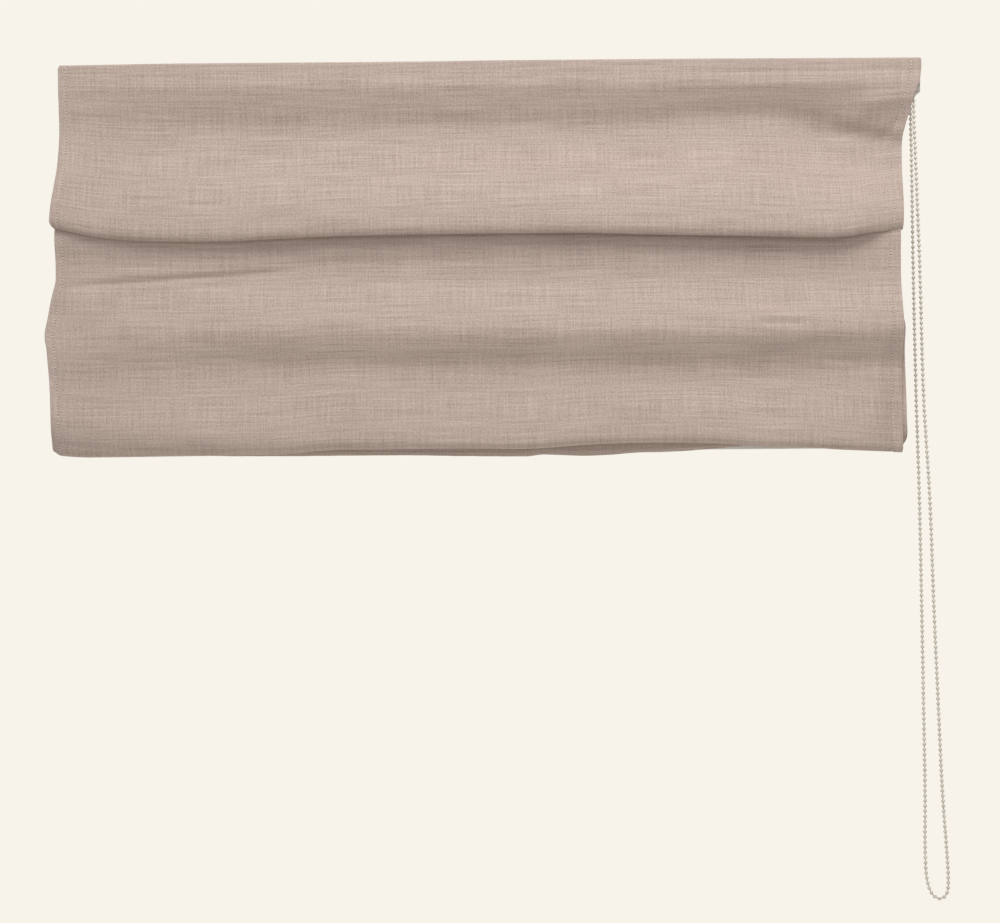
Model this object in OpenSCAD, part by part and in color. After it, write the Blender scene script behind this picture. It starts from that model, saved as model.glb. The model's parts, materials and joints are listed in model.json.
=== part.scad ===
// Chain-operated roman blind, drawn right up, hung from two ceiling brackets.
// X runs along the headrail, -Y faces the room and Z is up. The origin lies on the ceiling,
// midway between the two bracket screw holes.

/* [Fabric] */
// Finished width of the blind at its header
blind_w = 1000; // [700:5:1800]
// Thickness of the cloth
cloth_t = 0.8; // [0.5:0.1:1.2]
// How far the cloth's edge stands in from the drive end below the header
chain_inset = 24; // [18:1:40]
// How far the gathered cloth spreads past the header on the idle side
idle_spread = 13; // [0:1:20]
// Lowest point of the first fold below the ceiling
fold_drop = 198; // [175:1:260]
// How far the first fold stands forward of the shaft
fold_reach = 42; // [36:1:70]
// Lowest point of the front loop below the ceiling
loop_drop = 446; // [380:1:700]
// Lowest point of the hidden rear loop below the ceiling
rear_loop_drop = 438; // [380:1:700]
// Lower edge of the bottom hem below the ceiling
hem_drop = 456; // [400:1:720]

/* [Headrail] */
// Depth of the rail from front to back
rail_d = 34; // [32:1:50]
// Height of the rail
rail_h = 28; // [28:1:40]
// Wall of the rail
rail_wall = 1.2; // [0.8:0.1:2]
// Width of each in-turned lip along the rail's open top
lip_w = 5; // [3:0.5:7]
// Gap between the ceiling and the top of the rail
rail_gap = 4; // [4:0.5:8]
// Height of the hook and loop tapes
tape_h = 20; // [12:1:22]
// Thickness of each tape
tape_t = 1.1; // [0.6:0.1:2]

/* [Drive] */
// Pitch of the beads along the chain
bead_pitch = 6; // [4.5:0.5:12]
// Diameter of a bead
bead_d = 4.5; // [3:0.1:5]
// Bead pockets round the chain wheel
wheel_pockets = 10; // [9:1:11]
// Shaft size across its flats
shaft_af = 6; // [5:0.5:7]
// Wall of the drive housing
housing_wall = 2; // [1.2:0.1:3]

/* [Lifting] */
// Radius of the drums where the cord winds
drum_r = 8.2; // [6:0.1:9]
// Diameter of a lift cord
cord_d = 1.2; // [0.8:0.1:1.6]
// Turns of cord on each drum when the blind is up
cord_turns = 20; // [10:1:24]
// Distance from one cord to the next along the blind
cord_spacing = 400; // [250:5:700]

/* [Rods and bar] */
// Diameter of a batten rod
rod_d = 4; // [3:0.5:6]
// Height between rods in the stack
rod_pitch = 14; // [12:0.5:24]
// Top rod of the stack below the ceiling
rod_drop = 165; // [150:1:220]
// Wall of a rod pocket
pocket_wall = 0.8; // [0.5:0.1:1.2]
// Height of the bottom bar
bar_h = 20; // [12:1:30]
// Thickness of the bottom bar
bar_t = 3; // [2:0.5:5]

/* [Brackets] */
// Distance between the screw holes of the two brackets
bracket_spacing = 640; // [400:5:1200]
// Diameter of a bracket's screw hole
screw_hole_d = 4.5; // [3.5:0.5:6]
// Thickness of a bracket's plate
plate_t = 1.5; // [1:0.1:2]
// Reach of a bracket's lever behind its pivot
lever_reach = 25; // [20:1:36]

/* [Hidden] */
$fn = 64;

// Clearances
fit = 0.2;
soft_gap = 0.35;
turn_gap = 0.6;
lay_gap = 0.05;
pivot_gap = 0.15;
lever_gap = 0.3;
cut = 1;
// Share of its diameter by which a wound wire or cord moves on each turn, pressed against the last
wound_share = 0.92;

// Colours
cloth_colour = "#b8a497";
white_metal = "#e9e8e4";
ivory = "#e8e2d6";
grey_plastic = "#b9b8b5";
steel = "#c3c6ca";

// Headrail and the shaft inside it
rail_top = -rail_gap;
rail_bottom = rail_top - rail_h;
rail_floor = rail_bottom + rail_wall;
axis_z = rail_top - rail_h / 2;
cap_t = 3;
drive_l = 20;
rail_x0 = -blind_w / 2 + cap_t;
rail_x1 = blind_w / 2 - drive_l;
rail_inner_d = rail_d - 2 * rail_wall;
tape_ridge = 1;
cap_corner = 2;
cap_step = 0.8;
bush_wall = 1.6;
bush_stand = 2;
tape_z = axis_z;
shaft_r = shaft_af / sqrt(3);

// Ribs along the inside of the rail, which hold the drum cradles down
cradle_base_t = 1.6;
rib_w = 0.6;
rib_h = 0.8;
rib_z = rail_floor + cradle_base_t + fit;

// Chain drive, measured along X from the end of the rail
flange_t = 2.5;
cover_t = 2.5;
wheel_disc_t = 7.2;
cover_x = rail_x1 + drive_l - cover_t;
wheel_x1 = cover_x - turn_gap;
wheel_x0 = wheel_x1 - wheel_disc_t;
chain_x = (wheel_x0 + wheel_x1) / 2;
bead_r = bead_d / 2;
wheel_pitch_r = wheel_pockets * bead_pitch / (2 * PI);
wheel_r = wheel_pitch_r + bead_r - fit;
chamber_r = wheel_pitch_r + bead_r + 2 * turn_gap;
core_wall = 1.2;
core_r = shaft_r + turn_gap + core_wall;
spring_wire = 1;
spring_coils = 5;
spring_r = core_r + fit + spring_wire / 2;
skirt_r = spring_r + spring_wire / 2 + turn_gap;
skirt_wall = 1.2;
journal_wall = 0.8;
journal_r = shaft_r + journal_wall;
groove_w = 1.2;
housing_w = 2 * (chamber_r + housing_wall);
housing_corner = 4;
plug_l = 10;
guide_h = 6.5;
guide_corner = 2;
guide_wall = 1.6;
guide_flare = 1;
guide_hole_r = bead_r + 1;
guide_back = 5;
cover_screw_d = 2.5;
cover_screw_l = 7;
screw_edge = 2.4;
screw_out = housing_w / 2 - screw_edge;
screw_head_d = 4.4;
screw_head_t = 0.9;
screw_slot_w = 0.7;
screw_slot_l = 2.6;
screw_slot_depth = 0.5;

// Cord drums
cord_r = cord_d / 2;
cord_y = drum_r + cord_r + lay_gap;
turn_step = wound_share * cord_d;
drum_l = (cord_turns + 2) * turn_step;
drum_flange_t = 1.5;
drum_flange_rise = 2.5;
drum_flange_r = drum_r + drum_flange_rise;
drum_journal_r = shaft_r + core_wall;
drum_half = drum_l / 2 + drum_flange_t;
cradle_wall = 2;
cradle_in = drum_half + turn_gap;
cradle_half = cradle_in + cradle_wall;
outlet_r = 2.4;
outlet_stand = 0.8;
cord_offset = drum_l / 2 - cord_r - lever_gap;
columns = [-cord_spacing, 0, cord_spacing];

// Rods, pockets and rings
rod_r = rod_d / 2;
rod_slack = 0.1;
rod_chamfer = 0.6;
rod_in = 3;
pocket_r = rod_r + rod_slack + pocket_wall;
ring_r = 4;
ring_wire = 0.9;
rod_y = cord_y - ring_r - ring_wire - pocket_r - rod_slack;
crest_y = rod_y - pocket_r - soft_gap - cloth_t / 2;
side_in = 10;
rod_x0 = -blind_w / 2 + side_in;
rod_x1 = blind_w / 2 - chain_inset - side_in;
tie_h = 8;
tie_r = 2.6;
tie_rim_t = 1.2;
tie_top_t = 2;
tie_floor = 0.6;

// Bottom bar
bar_y = crest_y + 1.7;
bar_bottom = -hem_drop + cloth_t + 2;
bar_cap_l = 6;
bar_cap_wall = 0.3;

// Brackets
bracket_l = 44;
bracket_d = 26;
bracket_corner = 5;
hole_in = 12;
pivot_in = 32;
pivot_x = pivot_in - hole_in;
lever_t = 1.5;
rivet_r = 2;
rivet_head_r = 3.5;
rivet_head_t = 1;
rivet_taper = 0.8;
arm_top = -plate_t - lever_gap;
arm_bottom = arm_top - lever_t;
cam_top = rail_top - rail_wall - lever_gap;
cam_bottom = cam_top - lever_t;
cam_w = 12;
cam_room = 1.5;
cam_r = rail_inner_d / 2 - cam_room;

// Cloth section, from the header down and through every fold to the bottom hem, as [y, z]
header_y = -rail_d / 2 - 2 * tape_t - cloth_t / 2 - lay_gap;
hem_y = bar_t / 2 + soft_gap + cloth_t / 2;
header_top = -2;
recess_y = -11;
nose = 2;
front_y = -fold_reach;
first_section = [
    [header_y, header_top], [header_y, axis_z], [header_y, rail_bottom + 2],
    [header_y + 4, rail_bottom - 12], [recess_y, rail_bottom - 32], [recess_y - 4, rail_bottom - 58],
    [front_y + 18, -fold_drop + 74], [front_y + 6, -fold_drop + 44], [front_y, -fold_drop + 17],
    [front_y + 1, -fold_drop + 5], [front_y + 5.5, -fold_drop], [front_y + 10.5, -fold_drop + 3.5],
    [front_y + 16, -rod_drop - 15], [front_y + 25, -rod_drop - 4.5], [crest_y - 5, -rod_drop + nose]
];
second_section = [
    [crest_y, -rod_drop], [crest_y - 5, -rod_drop - nose],
    [crest_y - 10.6, -rod_drop - 8.5], [crest_y - 13.6, -rod_drop - 19], [crest_y - 14.6, -fold_drop - 4],
    [crest_y - 20, -fold_drop - 37], [crest_y - 34, -fold_drop - 82], [crest_y - 41.5, -loop_drop + 140],
    [crest_y - 36.5, -loop_drop + 120], [crest_y - 27.5, -loop_drop + 99], [crest_y - 25.5, -loop_drop + 78],
    [crest_y - 28, -loop_drop + 46], [crest_y - 28, -loop_drop + 22], [crest_y - 25.5, -loop_drop + 6],
    [crest_y - 21, -loop_drop], [crest_y - 16.5, -loop_drop + 5], [crest_y - 15, -loop_drop + 21],
    [crest_y - 12.5, -loop_drop + 116], [crest_y - 10.5, -fold_drop - 37],
    [crest_y - 9.5, -rod_drop - rod_pitch - 16], [crest_y - 8, -rod_drop - rod_pitch - 4],
    [crest_y - 4, -rod_drop - rod_pitch + nose]
];
third_section = [
    [crest_y, -rod_drop - rod_pitch], [crest_y - 3.5, -rod_drop - rod_pitch - nose],
    [crest_y - 5.6, -rod_drop - rod_pitch - 8], [crest_y - 6.2, -rod_drop - rod_pitch - 21],
    [crest_y - 6.7, -rear_loop_drop + 138], [crest_y - 8.3, -rear_loop_drop + 38],
    [crest_y - 8.6, -rear_loop_drop + 8], [crest_y - 5.9, -rear_loop_drop],
    [crest_y - 3.3, -rear_loop_drop + 8], [crest_y - 3.3, -rear_loop_drop + 38],
    [crest_y - 3.5, -rear_loop_drop + 138], [crest_y - 3.7, -rod_drop - 2 * rod_pitch - 12],
    [crest_y - 3.4, -rod_drop - 2 * rod_pitch - 3], [crest_y - 1.8, -rod_drop - 2 * rod_pitch + nose]
];
bottom_flap = [
    [crest_y, -rod_drop - 2 * rod_pitch], [crest_y - 1.2, -rod_drop - 2 * rod_pitch - 4],
    [crest_y - 0.9, -rod_drop - 2 * rod_pitch - 17], [crest_y - 0.3, -rear_loop_drop + 138],
    [bar_y - hem_y, -hem_drop + bar_h + 16], [bar_y - hem_y, -hem_drop + 4],
    [bar_y, -hem_drop + cloth_t / 2], [bar_y + hem_y, -hem_drop + 4],
    [bar_y + hem_y, -hem_drop + bar_h + 3], [bar_y - hem_y + 1.4, -hem_drop + bar_h + 12]
];
cloth_path = concat(first_section, second_section, third_section, bottom_flap);
cloth_steps = 5;

// Outline of the gathered cloth seen from the front, as [x, z]
cloth_idle = -blind_w / 2;
cloth_drive = blind_w / 2 - chain_inset;
cloth_outline = [
    [cloth_idle, 0], [blind_w / 2, 0], [blind_w / 2, axis_z - 2], [cloth_drive + 4, rail_bottom - 12],
    [cloth_drive, rail_bottom - 30], [cloth_drive, -hem_drop - cut],
    [cloth_idle - idle_spread / 2, -hem_drop - cut], [cloth_idle - idle_spread, -fold_drop - 112],
    [cloth_idle - idle_spread / 2, -fold_drop], [cloth_idle, rail_bottom - 30]
];

// Middle line of the hanging bead chain, as [x from the wheel's plane, y, z]
chain_route = [
    [0, 9.5, -28.5], [0, 9.5, -60], [1, 9.2, -140], [1.5, 8.8, -230], [4, 8.4, -400],
    [6.5, 7.6, -510], [8, 6.6, -635], [9, 5, -750], [9.5, 2.6, -860], [9, 1.2, -933],
    [10.4, 0.4, -956], [14.5, 0, -970.7], [19.1, 0, -976.6], [25, 0, -979.3], [30.6, 0, -977.3],
    [34.2, 0, -970.9], [35.2, -0.4, -956], [34.1, -1.2, -933], [32.5, -1.7, -910], [29, -2.6, -860],
    [24, -5, -750], [19.5, -6.6, -635], [15.5, -7.6, -510], [9.5, -8.4, -400], [5.5, -8.8, -230],
    [2.5, -9.2, -140], [0, -9.5, -60], [0, -9.5, -28.5]
];
chain_steps = 3;
chain_sides = 8;

// Curves

function unit(v) = v / norm(v);

function clamp_index(points, i) = max(0, min(len(points) - 1, i));

// Direction of a smooth curve at its control point i: halfway between the legs on either side
function heading(points, i) =
    i == 0 ? unit(points[1] - points[0]) :
    i == len(points) - 1 ? unit(points[i] - points[i - 1]) :
    unit(unit(points[i] - points[i - 1]) + unit(points[i + 1] - points[i]));

// The point a share t of the way along the leg from a to b, with unit headings u and v at its ends
function on_leg(a, b, u, v, t) =
    let (l = norm(b - a), s = 1 - t)
        s * s * (1 + 2 * t) * a + t * t * (3 - 2 * t) * b + l * t * s * (s * u - t * v);

function smooth_path(points, steps) = concat(
    [for (i = [0 : len(points) - 2], k = [0 : steps - 1])
        on_leg(points[i], points[i + 1], heading(points, i), heading(points, i + 1), k / steps)],
    [points[len(points) - 1]]
);

function tangent(path, i) = unit(path[clamp_index(path, i + 1)] - path[clamp_index(path, i - 1)]);

function offset_path(path, distance) = [
    for (i = [0 : len(path) - 1])
        let (d = tangent(path, i)) path[i] + distance * [-d[1], d[0]]
];

function reversed(list) = [for (i = [len(list) - 1 : -1 : 0]) list[i]];

// Shared shapes

// Extrudes a section drawn as [y, z] along X, from x0 to x1
module along_x(x0, x1) {
    translate([x0, 0, 0])
        rotate([90, 0, 90])
            linear_extrude(x1 - x0)
                children();
}

// Turns a profile drawn as [radius, x] about the shaft
module about_shaft() {
    translate([0, 0, axis_z])
        rotate([90, 0, 90])
            rotate_extrude()
                children();
}

module rounded_rect(w, h, r) {
    square([w - 2 * r, h], center = true);
    square([w, h - 2 * r], center = true);
    for (sx = [-1, 1], sy = [-1, 1])
        translate([sx * (w / 2 - r), sy * (h / 2 - r)])
            circle(r);
}

// A strip of one thickness along a smooth path
module strip(path, thickness) {
    polygon(concat(offset_path(path, thickness / 2), reversed(offset_path(path, -thickness / 2))));
}

// One closed tube of chain_sides sides along a path that never runs along Y
module tube(path, r) {
    n = chain_sides;
    rings = [
        for (i = [0 : len(path) - 1])
            let (d = tangent(path, i), u = cross(d, [0, 1, 0]) / norm(cross(d, [0, 1, 0])), v = cross(d, u))
                for (k = [0 : n - 1])
                    path[i] + r * (cos(360 * k / n) * u + sin(360 * k / n) * v)
    ];
    last = (len(path) - 1) * n;
    polyhedron(rings, concat(
        [[for (k = [0 : n - 1]) k]],
        [for (i = [0 : len(path) - 2], k = [0 : n - 1])
            let (a = i * n + k, b = i * n + (k + 1) % n) [a, a + n, b + n, b]],
        [[for (k = [n - 1 : -1 : 0]) last + k]]
    ));
}

// Headrail and fabric

// The two ribs inside the rail, drawn as [y, z] and made larger all round by grow
module rail_ribs(grow) {
    for (side = [-1, 1])
        translate([side * (rail_inner_d / 2 - rib_w / 2), rib_z + rib_h / 2])
            square([rib_w + 2 * grow, rib_h + 2 * grow], center = true);
}

// The block that an end piece pushes into the rail, with grooves for the ribs
module rail_plug(x0, x1) {
    plug_w = rail_inner_d - 2 * fit;
    plug_top = rail_top - rail_wall - fit;
    plug_bottom = rail_floor + fit;
    along_x(x0, x1)
        difference() {
            translate([-plug_w / 2, plug_bottom])
                square([plug_w, plug_top - plug_bottom]);
            rail_ribs(fit);
        }
}

module headrail() {
    color(white_metal)
        difference() {
            along_x(rail_x0, rail_x1)
                difference() {
                    union() {
                        translate([-rail_d / 2, rail_bottom])
                            square([rail_d, rail_h]);
                        for (side = [-1, 1])
                            translate([-rail_d / 2 - tape_ridge / 2,
                                    tape_z + side * (tape_h / 2 + fit + tape_ridge / 2)])
                                square(tape_ridge, center = true);
                    }
                    difference() {
                        translate([-rail_inner_d / 2, rail_floor])
                            square([rail_inner_d, rail_h - 2 * rail_wall]);
                        rail_ribs(0);
                    }
                    translate([-rail_d / 2 + lip_w, axis_z])
                        square([rail_d - 2 * lip_w, rail_h]);
                }
            for (x = columns)
                translate([x, cord_y, rail_bottom - cut])
                    cylinder(r = outlet_r + fit, h = rail_wall + 2 * cut);
        }
}

module tape(y) {
    translate([rail_x0, y, tape_z - tape_h / 2])
        cube([rail_x1 - rail_x0, tape_t, tape_h]);
}

module hook_tape() {
    color("#f1f0ec")
        tape(-rail_d / 2 - tape_t);
}

module loop_tape() {
    color("#f6f4ee")
        tape(-rail_d / 2 - 2 * tape_t);
}

module fabric_panel() {
    color(cloth_colour)
        intersection() {
            along_x(cloth_idle - idle_spread - cut, blind_w / 2 + cut)
                strip(smooth_path(cloth_path, cloth_steps), cloth_t);
            rotate([90, 0, 0])
                linear_extrude(4 * fold_reach, center = true)
                    polygon(cloth_outline);
        }
}

// Idle end

module idle_end_cap() {
    color(ivory)
        difference() {
            union() {
                along_x(-blind_w / 2 + cap_step, rail_x0)
                    translate([0, axis_z])
                        rounded_rect(rail_d, rail_h, cap_corner);
                along_x(-blind_w / 2, rail_x0)
                    translate([0, axis_z])
                        rounded_rect(rail_d - 2 * cap_step, rail_h - 2 * cap_step, cap_corner);
                rail_plug(rail_x0, rail_x0 + plug_l);
            }
            about_shaft()
                translate([0, rail_x0])
                    square([journal_r + bush_wall + lay_gap, plug_l + cut]);
        }
}

module idle_bush() {
    color(grey_plastic)
        about_shaft()
            translate([shaft_r + fit, rail_x0])
                square([journal_r + bush_wall - shaft_r - fit, plug_l + bush_stand]);
}

// Chain drive

module housing_outline() {
    translate([0, axis_z])
        rounded_rect(housing_w, housing_w, housing_corner);
}

module drive_housing() {
    mouth_w = 2 * (wheel_pitch_r + guide_hole_r);
    color(ivory)
        difference() {
            union() {
                difference() {
                    along_x(rail_x1, cover_x)
                        housing_outline();
                    about_shaft()
                        translate([0, rail_x1 + flange_t])
                            square([chamber_r, drive_l]);
                    translate([rail_x1 + flange_t, -mouth_w / 2, axis_z - housing_w])
                        cube([drive_l, mouth_w, housing_w]);
                }
                about_shaft()
                    translate([0, rail_x1])
                        square([core_r, wheel_x0 - turn_gap - rail_x1]);
                rail_plug(rail_x1 - plug_l, rail_x1);
            }
            about_shaft()
                translate([0, rail_x1 - plug_l - cut])
                    square([shaft_r + turn_gap, drive_l + plug_l + 2 * cut]);
            for (y = [-screw_out, screw_out])
                translate([cover_x - cover_screw_l - cut, y, axis_z + screw_out])
                    rotate([0, 90, 0])
                        cylinder(d = cover_screw_d, h = cover_screw_l + 2 * cut);
        }
}

module drive_cover() {
    guide_w = 2 * (wheel_pitch_r + guide_hole_r + guide_wall);
    guide_top = axis_z - housing_w / 2;
    color(grey_plastic)
        difference() {
            union() {
                along_x(cover_x, cover_x + cover_t)
                    housing_outline();
                along_x(chain_x - guide_back, cover_x + cover_t)
                    translate([0, guide_top - guide_h / 2])
                        rounded_rect(guide_w, guide_h, guide_corner);
                translate([cover_x, -guide_w / 2 + guide_corner, guide_top - guide_corner])
                    cube([cover_t, guide_w - 2 * guide_corner, 2 * cover_t]);
            }
            about_shaft()
                translate([0, cover_x - cut])
                    square([journal_r + fit, cover_t]);
            for (y = [-wheel_pitch_r, wheel_pitch_r])
                translate([chain_x, y, guide_top - guide_h - cut]) {
                    cylinder(r = guide_hole_r, h = guide_h + 2 * cut);
                    cylinder(r1 = guide_hole_r + guide_flare + cut, r2 = guide_hole_r, h = guide_flare + cut);
                }
            for (y = [-screw_out, screw_out])
                translate([cover_x - cut, y, axis_z + screw_out])
                    rotate([0, 90, 0])
                        cylinder(d = cover_screw_d, h = cover_t + 2 * cut);
        }
}

module cover_screws() {
    shank_l = cover_screw_l + cover_t;
    color(steel)
        for (y = [-screw_out, screw_out])
            translate([cover_x - cover_screw_l, y, axis_z + screw_out])
                rotate([0, 90, 0])
                    difference() {
                        union() {
                            cylinder(d = cover_screw_d - 2 * lay_gap, h = shank_l);
                            translate([0, 0, shank_l])
                                cylinder(d1 = screw_head_d, d2 = screw_head_d - cut, h = screw_head_t);
                        }
                        for (turn = [0, 90])
                            rotate([0, 0, turn])
                                translate([-screw_slot_l / 2, -screw_slot_w / 2,
                                        shank_l + screw_head_t - screw_slot_depth])
                                    cube([screw_slot_l, screw_slot_w, cut]);
                    }
}

module brake_spring() {
    color(steel)
        about_shaft()
            for (i = [0 : spring_coils - 1])
                translate([spring_r, rail_x1 + flange_t + spring_wire + wound_share * spring_wire * i])
                    circle(d = spring_wire);
}

module chain_wheel() {
    pocket_cut = bead_r + fit;
    skirt_x0 = rail_x1 + flange_t + turn_gap;
    color(ivory)
        difference() {
            union() {
                about_shaft()
                    translate([0, wheel_x0])
                        square([wheel_r, wheel_disc_t]);
                about_shaft()
                    translate([skirt_r, skirt_x0])
                        square([skirt_wall, wheel_x0 - skirt_x0 + cut]);
                about_shaft()
                    translate([0, wheel_x1 - cut])
                        square([journal_r, cover_t]);
            }
            translate([wheel_x0 - cut, 0, axis_z])
                rotate([0, 90, 0])
                    cylinder(r = shaft_r + fit / 2, h = wheel_disc_t, $fn = 6);
            about_shaft()
                translate([wheel_pitch_r - groove_w / 2, chain_x - groove_w / 2])
                    square([wheel_r, groove_w]);
            for (i = [0 : wheel_pockets - 1])
                translate([chain_x, 0, axis_z])
                    rotate([360 * i / wheel_pockets, 0, 0])
                        translate([0, wheel_pitch_r, 0]) {
                            sphere(pocket_cut);
                            rotate([-90, 0, 0])
                                cylinder(r = pocket_cut, h = wheel_r);
                        }
        }
}

// The beads that lie over the upper half of the wheel
module wheel_beads() {
    color("#efe9dd")
        for (i = [0 : wheel_pockets / 2])
            translate([chain_x, 0, axis_z])
                rotate([360 * i / wheel_pockets, 0, 0])
                    translate([0, wheel_pitch_r, 0])
                        sphere(bead_r);
}

module bead_chain() {
    color("#efe9dd")
        translate([chain_x, 0, 0])
            tube(smooth_path(chain_route, chain_steps), bead_r);
}

// Shaft and cord drums

module drive_shaft() {
    color(steel)
        translate([rail_x0 + turn_gap, 0, axis_z])
            rotate([0, 90, 0])
                cylinder(r = shaft_r, h = wheel_x1 - 2 * turn_gap - rail_x0 - turn_gap, $fn = 6);
}

module cord_drum(column) {
    anchor_r = drum_r + drum_flange_rise / 2;
    color(ivory)
        translate([column - cord_offset, 0, 0])
            difference() {
                about_shaft() {
                    translate([0, -drum_half])
                        square([drum_r, 2 * drum_half]);
                    for (side = [-1, 1])
                        translate([0, side * (drum_half - drum_flange_t / 2) - drum_flange_t / 2])
                            square([drum_flange_r, drum_flange_t]);
                    translate([0, -cradle_half])
                        square([drum_journal_r, 2 * cradle_half]);
                }
                translate([-cradle_half - cut, 0, axis_z])
                    rotate([0, 90, 0])
                        cylinder(r = shaft_r + fit / 2, h = 2 * cradle_half + 2 * cut, $fn = 6);
                translate([-drum_half - cut, 0, axis_z + anchor_r])
                    rotate([0, 90, 0])
                        cylinder(r = cord_r + 2 * lay_gap, h = drum_flange_t + 2 * cut);
            }
}

// All the turns of cord that lie on the drums while the blind is up
module cord_windings() {
    color("#f2efe8")
        for (x = columns)
            translate([x - cord_offset, 0, 0])
                about_shaft()
                    for (i = [1 : cord_turns])
                        translate([cord_y, cord_offset - cord_r - lay_gap - i * turn_step])
                            circle(cord_r);
}

module drum_cradle(column) {
    base_d = rail_inner_d - 2 * fit;
    side_d = 2 * drum_flange_r + cradle_wall;
    side_top = axis_z + drum_journal_r + cradle_wall / 2;
    cord_hole_r = 2 * cord_r + lay_gap;
    color(grey_plastic)
        translate([column - cord_offset, 0, 0])
            difference() {
                union() {
                    translate([-cradle_half, -base_d / 2, rail_floor])
                        cube([2 * cradle_half, base_d, cradle_base_t]);
                    for (side = [-1, 1])
                        translate([side * (cradle_in + cradle_wall / 2) - cradle_wall / 2, -side_d / 2, rail_floor])
                            cube([cradle_wall, side_d, side_top - rail_floor]);
                    translate([cord_offset, cord_y, rail_bottom - outlet_stand])
                        cylinder(r = outlet_r, h = outlet_stand + rail_wall + cradle_base_t);
                }
                about_shaft()
                    translate([0, -cradle_half - cut])
                        square([drum_journal_r + fit, 2 * cradle_half + 2 * cut]);
                translate([-cradle_half - cut, -drum_journal_r - fit, axis_z])
                    cube([2 * cradle_half + 2 * cut, 2 * drum_journal_r + 2 * fit, rail_h]);
                translate([cord_offset, cord_y, rail_bottom - outlet_stand - cut])
                    cylinder(r = cord_hole_r, h = rail_h);
            }
}

module lift_cord(column) {
    bottom = -rod_drop - 2 * rod_pitch - ring_wire - tie_h + tie_rim_t;
    color("#f2efe8")
        translate([column, cord_y, bottom])
            cylinder(r = cord_r, h = axis_z - bottom);
}

// Rods, pockets, rings and the bottom bar

module batten_rod(level) {
    rod_l = rod_x1 - rod_x0 - 2 * rod_in;
    color("#f3f3f0")
        translate([rod_x0 + rod_in, rod_y, -rod_drop - level * rod_pitch])
            rotate([0, 90, 0]) {
                cylinder(r1 = rod_r - rod_chamfer, r2 = rod_r, h = rod_chamfer);
                translate([0, 0, rod_chamfer])
                    cylinder(r = rod_r, h = rod_l - 2 * rod_chamfer);
                translate([0, 0, rod_l - rod_chamfer])
                    cylinder(r1 = rod_r, r2 = rod_r - rod_chamfer, h = rod_chamfer);
            }
}

module rod_pocket(level) {
    color(cloth_colour)
        along_x(rod_x0, rod_x1)
            translate([rod_y, -rod_drop - level * rod_pitch])
                difference() {
                    circle(pocket_r);
                    circle(pocket_r - pocket_wall);
                }
}

module cord_rings(level) {
    color(ivory)
        for (x = columns)
            translate([x, cord_y, -rod_drop - level * rod_pitch])
                rotate_extrude()
                    translate([ring_r, 0])
                        circle(ring_wire);
}

module cord_ties() {
    color(ivory)
        for (x = columns)
            translate([x, cord_y, -rod_drop - 2 * rod_pitch - ring_wire - tie_h])
                difference() {
                    rotate_extrude() {
                        square([tie_r, tie_h]);
                        square([ring_r, tie_rim_t]);
                        translate([0, tie_h - tie_top_t])
                            square([ring_r + ring_wire, tie_top_t]);
                    }
                    translate([0, 0, tie_floor])
                        cylinder(r = cord_r + soft_gap, h = tie_h);
                }
}

module bottom_bar() {
    color(white_metal)
        along_x(rod_x0 + bar_cap_l / 2, rod_x1 - bar_cap_l / 2)
            translate([bar_y, bar_bottom + bar_h / 2])
                rounded_rect(bar_t - 2 * bar_cap_wall, bar_h - 2 * bar_cap_wall, bar_t / 3);
}

module bar_caps() {
    color(ivory)
        for (x = [rod_x0, rod_x1 - bar_cap_l])
            difference() {
                along_x(x, x + bar_cap_l)
                    translate([bar_y, bar_bottom + bar_h / 2])
                        rounded_rect(bar_t, bar_h, bar_t / 3);
                along_x(rod_x0 + bar_cap_l / 2, rod_x1 - bar_cap_l / 2)
                    translate([bar_y, bar_bottom + bar_h / 2])
                        rounded_rect(bar_t - 2 * bar_cap_wall, bar_h - 2 * bar_cap_wall, bar_t / 3);
            }
}

// Ceiling brackets

module bracket(side) {
    color(steel)
        translate([side * bracket_spacing / 2, 0, -plate_t])
            difference() {
                translate([bracket_l / 2 - hole_in, 0, 0])
                    linear_extrude(plate_t)
                        rounded_rect(bracket_l, bracket_d, bracket_corner);
                translate([0, 0, -cut])
                    cylinder(d = screw_hole_d, h = plate_t + 2 * cut);
                translate([pivot_x, 0, 0])
                    cylinder(r1 = rivet_r, r2 = rivet_head_r, h = plate_t);
                translate([pivot_x, 0, -cut])
                    cylinder(r = rivet_r, h = plate_t + cut);
            }
}

module lever_rivets() {
    color(steel)
        for (side = [-1, 1])
            translate([side * bracket_spacing / 2 + pivot_x, 0, 0]) {
                translate([0, 0, -plate_t])
                    cylinder(r1 = rivet_r, r2 = rivet_head_r, h = plate_t);
                translate([0, 0, cam_bottom - pivot_gap - rivet_head_t])
                    cylinder(r = rivet_r, h = pivot_gap + rivet_head_t - cam_bottom - fit);
                translate([0, 0, cam_bottom - pivot_gap - rivet_head_t])
                    cylinder(r1 = rivet_head_r - rivet_taper, r2 = rivet_head_r, h = rivet_head_t);
            }
}

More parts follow.
